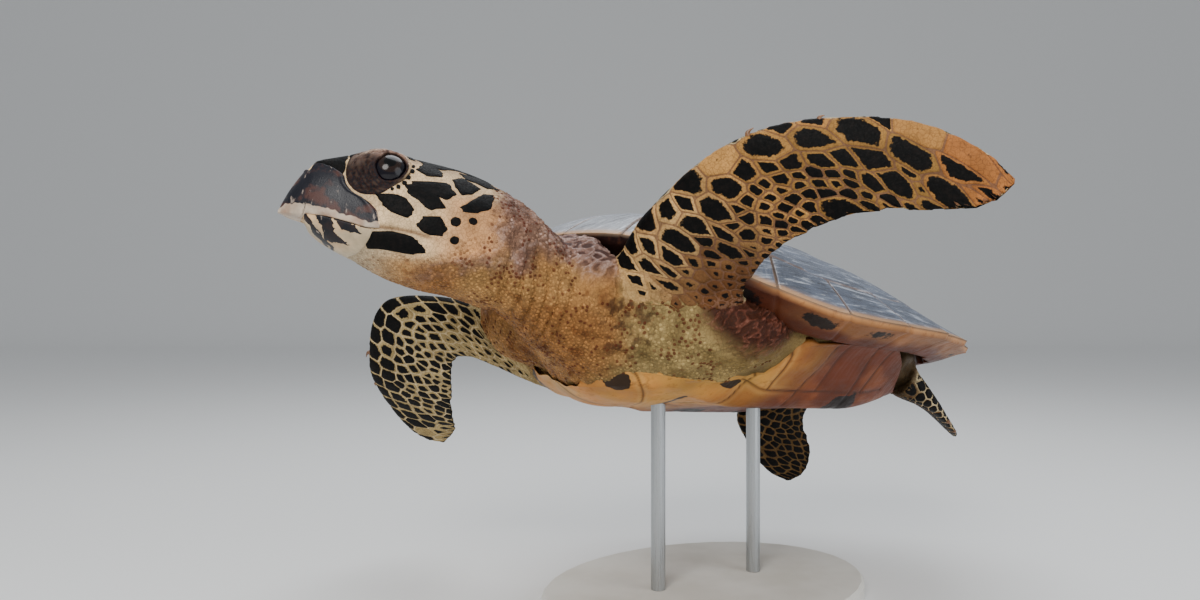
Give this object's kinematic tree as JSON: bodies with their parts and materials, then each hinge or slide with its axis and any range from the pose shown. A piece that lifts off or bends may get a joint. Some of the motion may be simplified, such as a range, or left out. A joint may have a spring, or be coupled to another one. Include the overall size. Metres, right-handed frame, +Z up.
{
  "type": "sea turtle model",
  "caption": "Life-size still model of a hawksbill sea turtle swimming with one front flipper raised, on a flat base with two short rods.",
  "frame": {"origin": "middle of the underside of the stand's base, on the floor", "axes": "+Z up, the turtle heads towards -Y, its left side is at +X"},
  "size_m": [0.5952, 0.7366, 0.422],
  "materials": {
    "skin": "wrinkled, satin",
    "scaled_skin": "dark scales with pale seams, satin",
    "horn": "horny beak, satin to glossy",
    "jaw_horn": "pale horn with dark streaks, satin",
    "carapace": "keratin scutes, weathered satin",
    "plastron": "keratin scutes, satin",
    "claw": "pale horn, satin",
    "eye": "wet and glossy",
    "stand": "plain matt plate",
    "stand_rod": "brushed"
  },
  "bodies": {
    "root": {"carapace": "carapace", "plastron": "plastron", "trunk": "skin", "neck": "skin", "head": "skin", "beak_upper": "horn", "jaw_lower": "jaw_horn", "tail": "skin", "eye_left": "eye", "eye_right": "eye", "flipper_fore_left_arm": "scaled_skin", "flipper_fore_left_blade": "scaled_skin", "flipper_hind_left": "scaled_skin", "flipper_fore_right_arm": "scaled_skin", "flipper_fore_right_blade": "scaled_skin", "flipper_hind_right": "scaled_skin", "claw_fore_left_1": "claw", "claw_fore_left_2": "claw", "claw_hind_left_1": "claw", "claw_hind_left_2": "claw", "claw_fore_right_1": "claw", "claw_fore_right_2": "claw", "claw_hind_right_1": "claw", "claw_hind_right_2": "claw", "stand_base": "stand", "stand_rod_front": "stand_rod", "stand_rod_rear": "stand_rod"}
  },
  "joints": []
}
